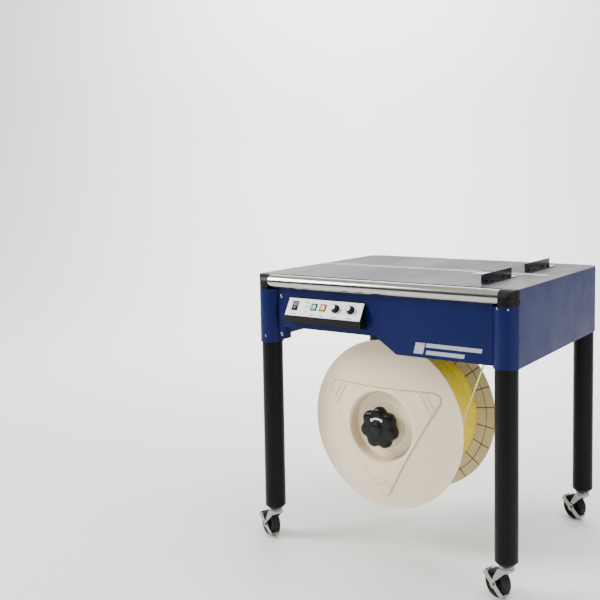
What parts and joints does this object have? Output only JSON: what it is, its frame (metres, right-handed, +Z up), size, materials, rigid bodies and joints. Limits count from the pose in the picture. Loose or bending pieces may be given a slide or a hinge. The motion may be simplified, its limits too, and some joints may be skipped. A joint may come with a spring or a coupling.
{
  "type": "semi automatic strapping machine",
  "caption": "Table-top strapping machine on casters: grey table with a strap slot and front roller, blue skirt with a tilted control box, and a strap reel below.",
  "frame": {"origin": "on the floor under the middle of the machine's bounding box", "axes": "+Z up, -Y towards the operator's side with the controls, +X to the operator's right"},
  "size_m": [0.7931, 0.6357, 0.7732],
  "materials": {
    "blue_paint": "smooth dark blue paint",
    "black_paint": "smooth black paint",
    "galvanised": "galvanised sheet",
    "table_steel": "brushed stainless sheet",
    "polished_steel": "polished stainless steel",
    "tool_steel": "ground steel",
    "cast_body": "machined casting",
    "motor_paint": "dark grey paint",
    "pulley_aluminium": "turned",
    "belt_rubber": "matte",
    "roller_rubber": "matte",
    "transformer_core": "varnished laminations",
    "black_plastic": "moulded",
    "black_gloss": "moulded",
    "white_panel": "white printed panel",
    "green_plastic": "moulded",
    "yellow_plastic": "moulded",
    "lamp_lens": "coloured lens",
    "board_resin": "circuit board",
    "beige_plastic": "moulded",
    "cream_plastic": "moulded",
    "yellow_strap": "wound plastic strap",
    "zinc": "zinc plated",
    "caster_rubber": "matte tread"
  },
  "bodies": {
    "cabinet": {"corner_posts_front": "blue_paint", "corner_posts_rear": "blue_paint", "legs_front": "black_paint", "legs_rear": "black_paint", "side_panel_left": "blue_paint", "side_panel_right": "blue_paint", "front_panel": "blue_paint", "rear_panel": "blue_paint", "chassis_plate": "galvanised", "table_front": "table_steel", "table_rear": "table_steel", "strap_rails": "polished_steel", "end_cap_left": "black_plastic", "end_cap_right": "black_plastic", "caster_stems": "zinc", "control_housing": "black_plastic", "control_plate": "white_panel", "status_lamps": "lamp_lens", "control_board": "board_resin", "head_block": "cast_body", "drive_motor": "motor_paint", "transformer": "transformer_core", "reel_bracket": "black_paint", "strap_lead": "yellow_strap", "cover_screws": "zinc", "mains_inlet": "black_gloss", "drive_belt": "belt_rubber"},
    "front_roller": {"front_roller": "polished_steel"},
    "package_stop_front": {"package_stop_front": "polished_steel"},
    "package_stop_rear": {"package_stop_rear": "polished_steel"},
    "slide_table": {"slide_table": "table_steel"},
    "strap_gripper": {"strap_gripper": "tool_steel"},
    "seal_press": {"seal_press": "tool_steel"},
    "cam_shaft": {"cam_shaft": "tool_steel"},
    "motor_pulley": {"motor_pulley": "pulley_aluminium"},
    "feed_roller": {"feed_roller": "tool_steel"},
    "pinch_roller": {"pinch_roller": "roller_rubber"},
    "power_switch": {"power_switch": "black_gloss"},
    "feed_button": {"feed_button": "green_plastic"},
    "reset_button": {"reset_button": "yellow_plastic"},
    "timer_knob": {"timer_knob": "black_gloss"},
    "tension_knob": {"tension_knob": "black_gloss"},
    "reel": {"rear_flange": "beige_plastic", "reel_drum": "beige_plastic", "front_flange": "cream_plastic", "strap_coil": "yellow_strap"},
    "hub_knob": {"hub_knob": "black_gloss"},
    "dancer_arm": {"dancer_arm": "tool_steel"},
    "caster_fork_front_left": {"caster_fork_front_left": "zinc"},
    "caster_wheel_front_left": {"caster_wheel_front_left": "caster_rubber"},
    "brake_lever_front_left": {"brake_lever_front_left": "zinc"},
    "caster_fork_front_right": {"caster_fork_front_right": "zinc"},
    "caster_wheel_front_right": {"caster_wheel_front_right": "caster_rubber"},
    "brake_lever_front_right": {"brake_lever_front_right": "zinc"},
    "caster_fork_rear_left": {"caster_fork_rear_left": "zinc"},
    "caster_wheel_rear_left": {"caster_wheel_rear_left": "caster_rubber"},
    "brake_lever_rear_left": {"brake_lever_rear_left": "zinc"},
    "caster_fork_rear_right": {"caster_fork_rear_right": "zinc"},
    "caster_wheel_rear_right": {"caster_wheel_rear_right": "caster_rubber"},
    "brake_lever_rear_right": {"brake_lever_rear_right": "zinc"}
  },
  "joints": [
    {"name": "swivel_front_left", "type": "hinge", "parent": "cabinet", "child": "caster_fork_front_left", "pos_m": [-0.33154, -0.27464, 0.078], "axis": [0, 0, 1], "continuous": true},
    {"name": "wheel_spin_front_left", "type": "hinge", "parent": "caster_fork_front_left", "child": "caster_wheel_front_left", "pos_m": [-0.35764, -0.26451, 0.0345], "axis": [-0.3616, -0.9323, 0], "continuous": true},
    {"name": "brake_front_left", "type": "hinge", "parent": "caster_fork_front_left", "child": "brake_lever_front_left", "pos_m": [-0.35764, -0.26451, 0.0345], "axis": [-0.3616, -0.9323, 0], "range_deg": [0, 12]},
    {"name": "swivel_front_right", "type": "hinge", "parent": "cabinet", "child": "caster_fork_front_right", "pos_m": [0.36446, -0.27464, 0.078], "axis": [0, 0, 1], "continuous": true},
    {"name": "wheel_spin_front_right", "type": "hinge", "parent": "caster_fork_front_right", "child": "caster_wheel_front_right", "pos_m": [0.33836, -0.26451, 0.0345], "axis": [-0.3616, -0.9323, 0], "continuous": true},
    {"name": "brake_front_right", "type": "hinge", "parent": "caster_fork_front_right", "child": "brake_lever_front_right", "pos_m": [0.33836, -0.26451, 0.0345], "axis": [-0.3616, -0.9323, 0], "range_deg": [0, 12]},
    {"name": "swivel_rear_left", "type": "hinge", "parent": "cabinet", "child": "caster_fork_rear_left", "pos_m": [-0.33154, 0.28536, 0.078], "axis": [0, 0, 1], "continuous": true},
    {"name": "wheel_spin_rear_left", "type": "hinge", "parent": "caster_fork_rear_left", "child": "caster_wheel_rear_left", "pos_m": [-0.35764, 0.29549, 0.0345], "axis": [-0.3616, -0.9323, 0], "continuous": true},
    {"name": "brake_rear_left", "type": "hinge", "parent": "caster_fork_rear_left", "child": "brake_lever_rear_left", "pos_m": [-0.35764, 0.29549, 0.0345], "axis": [-0.3616, -0.9323, 0], "range_deg": [0, 12]},
    {"name": "swivel_rear_right", "type": "hinge", "parent": "cabinet", "child": "caster_fork_rear_right", "pos_m": [0.36446, 0.28536, 0.078], "axis": [0, 0, 1], "continuous": true},
    {"name": "wheel_spin_rear_right", "type": "hinge", "parent": "caster_fork_rear_right", "child": "caster_wheel_rear_right", "pos_m": [0.33836, 0.29549, 0.0345], "axis": [-0.3616, -0.9323, 0], "continuous": true},
    {"name": "brake_rear_right", "type": "hinge", "parent": "caster_fork_rear_right", "child": "brake_lever_rear_right", "pos_m": [0.33836, 0.29549, 0.0345], "axis": [-0.3616, -0.9323, 0], "range_deg": [0, 12]},
    {"name": "roller_spin", "type": "hinge", "parent": "cabinet", "child": "front_roller", "pos_m": [0.01646, -0.28714, 0.7305], "axis": [1, 0, 0], "continuous": true},
    {"name": "reel_spin", "type": "hinge", "parent": "cabinet", "child": "reel", "pos_m": [-0.01154, -0.09464, 0.353], "axis": [0, 1, 0], "continuous": true},
    {"name": "hub_knob_turn", "type": "hinge", "parent": "reel", "child": "hub_knob", "pos_m": [-0.01154, -0.22464, 0.353], "axis": [0, 1, 0], "continuous": true},
    {"name": "power_rocker", "type": "hinge", "parent": "cabinet", "child": "power_switch", "pos_m": [-0.23054, -0.29827, 0.66958], "axis": [1, 0, 0], "range_deg": [0, 12]},
    {"name": "feed_press", "type": "slide", "parent": "cabinet", "child": "feed_button", "axis": [0, 0.866, -0.5], "range_m": [0, 0.0015], "stiffness_N_per_m": 250, "springref_m": -0.001},
    {"name": "reset_press", "type": "slide", "parent": "cabinet", "child": "reset_button", "axis": [0, 0.866, -0.5], "range_m": [0, 0.0015], "stiffness_N_per_m": 250, "springref_m": -0.001},
    {"name": "timer_turn", "type": "hinge", "parent": "cabinet", "child": "timer_knob", "pos_m": [-0.10054, -0.30347, 0.67258], "axis": [0, -0.866, 0.5], "range_deg": [-120, 150]},
    {"name": "tension_turn", "type": "hinge", "parent": "cabinet", "child": "tension_knob", "pos_m": [-0.05354, -0.30347, 0.67258], "axis": [0, -0.866, 0.5], "range_deg": [-120, 150]},
    {"name": "stop_front_slide", "type": "slide", "parent": "cabinet", "child": "package_stop_front", "axis": [0, 1, 0], "range_m": [0, 0.034]},
    {"name": "stop_rear_slide", "type": "slide", "parent": "cabinet", "child": "package_stop_rear", "axis": [0, 1, 0], "range_m": [0, 0.034]},
    {"name": "slide_table_stroke", "type": "slide", "parent": "cabinet", "child": "slide_table", "axis": [0, 1, 0], "range_m": [0, 0.02]},
    {"name": "gripper_lift", "type": "slide", "parent": "cabinet", "child": "strap_gripper", "axis": [0, 0, 1], "range_m": [0, 0.0055]},
    {"name": "press_lift", "type": "slide", "parent": "cabinet", "child": "seal_press", "axis": [0, 0, 1], "range_m": [0, 0.0055]},
    {"name": "cam_turn", "type": "hinge", "parent": "cabinet", "child": "cam_shaft", "pos_m": [0.09646, 0.01336, 0.655], "axis": [1, 0, 0], "continuous": true},
    {"name": "motor_turn", "type": "hinge", "parent": "cabinet", "child": "motor_pulley", "pos_m": [0.09646, 0.12736, 0.667], "axis": [1, 0, 0], "continuous": true},
    {"name": "feed_turn", "type": "hinge", "parent": "cabinet", "child": "feed_roller", "pos_m": [0.25246, 0.01336, 0.668], "axis": [0, 1, 0], "continuous": true},
    {"name": "pinch_turn", "type": "hinge", "parent": "cabinet", "child": "pinch_roller", "pos_m": [0.28856, 0.01336, 0.668], "axis": [0, 1, 0], "continuous": true},
    {"name": "dancer_swing", "type": "hinge", "parent": "cabinet", "child": "dancer_arm", "pos_m": [0.29907, -0.13964, 0.68259], "axis": [0, -1, 0], "range_deg": [0, 20], "stiffness_Nm_per_rad": 0.2}
  ],
  "couplings": [
    {"joint": "motor_turn", "follows": "cam_turn", "ratio": 2.0345},
    {"joint": "pinch_turn", "follows": "feed_turn", "ratio": -1.3333}
  ]
}
